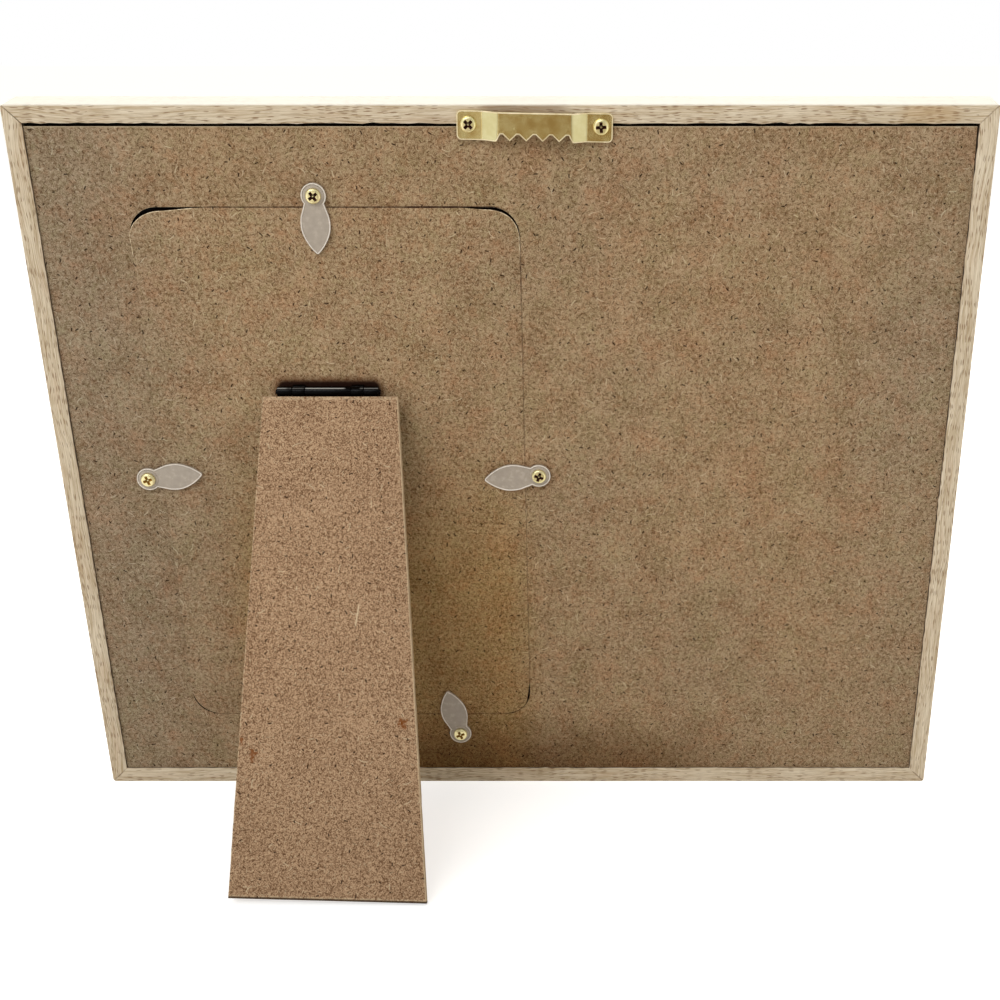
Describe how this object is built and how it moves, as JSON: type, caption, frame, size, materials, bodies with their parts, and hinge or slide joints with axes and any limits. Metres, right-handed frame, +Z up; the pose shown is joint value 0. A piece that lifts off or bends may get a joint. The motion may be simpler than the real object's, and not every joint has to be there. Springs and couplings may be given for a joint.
{
  "type": "easel back photo frame",
  "caption": "Landscape wooden photo frame with a hinged easel leg on a lift-out back door, plastic turn buttons and a sawtooth wall hanger.",
  "frame": {"origin": "on the table, under the middle of the part's box, with the leg open", "axes": "+X along the frame's width (to the left when its back is looked at), +Y from the picture side to the leg's side, +Z up"},
  "size_m": [0.267, 0.0937, 0.216],
  "materials": {
    "oak": "pale bare oak, fine open grain, matte",
    "nail_steel": "dull steel",
    "clear_glass": "clear picture glass",
    "mat_card": "off-white mat card",
    "photo_paper": "plain satin print paper",
    "hardboard": "brown hardboard with fine fibres, matte",
    "leg_board": "lighter, pinkish hardboard, matte",
    "black_enamel": "gloss black",
    "clear_plastic": "translucent grey-white plastic",
    "brass_plate": "thin brass plating, bright"
  },
  "bodies": {
    "frame": {"rail_top": "oak", "rail_bottom": "oak", "rail_left": "oak", "rail_right": "oak", "corner_nails": "nail_steel", "glass_pane": "clear_glass", "mat_board": "mat_card", "photo_insert": "photo_paper", "back_panel": "hardboard", "back_door": "hardboard", "hinge_door_leaf": "black_enamel", "hinge_pin": "black_enamel", "hinge_door_rivets": "black_enamel", "button_screws": "brass_plate", "sawtooth_hanger": "brass_plate", "hanger_screws": "brass_plate"},
    "leg": {"easel_leg": "leg_board", "hinge_leg_leaf": "black_enamel", "hinge_leg_rivets": "black_enamel"},
    "button_top": {"turn_button_top": "clear_plastic"},
    "button_bottom": {"turn_button_bottom": "clear_plastic"},
    "button_left": {"turn_button_left": "clear_plastic"},
    "button_right": {"turn_button_right": "clear_plastic"}
  },
  "joints": [
    {"name": "leg_hinge", "type": "hinge", "parent": "frame", "child": "leg", "pos_m": [0.05187, -0.01291, 0.13444], "axis": [-1, 0, 0], "range_deg": [0, 32]},
    {"name": "button_top_turn", "type": "hinge", "parent": "frame", "child": "button_top", "pos_m": [0.05176, -0.00621, 0.19049], "axis": [0, 0.9877, -0.1564], "continuous": true},
    {"name": "button_bottom_turn", "type": "hinge", "parent": "frame", "child": "button_bottom", "pos_m": [0.01828, -0.03341, 0.01873], "axis": [0, 0.9877, -0.1564], "range_deg": [-130, 105]},
    {"name": "button_left_turn", "type": "hinge", "parent": "frame", "child": "button_left", "pos_m": [0.10775, -0.0194, 0.10722], "axis": [0, 0.9877, -0.1564], "continuous": true},
    {"name": "button_right_turn", "type": "hinge", "parent": "frame", "child": "button_right", "pos_m": [-0.00855, -0.01922, 0.10831], "axis": [0, 0.9877, -0.1564], "continuous": true}
  ]
}
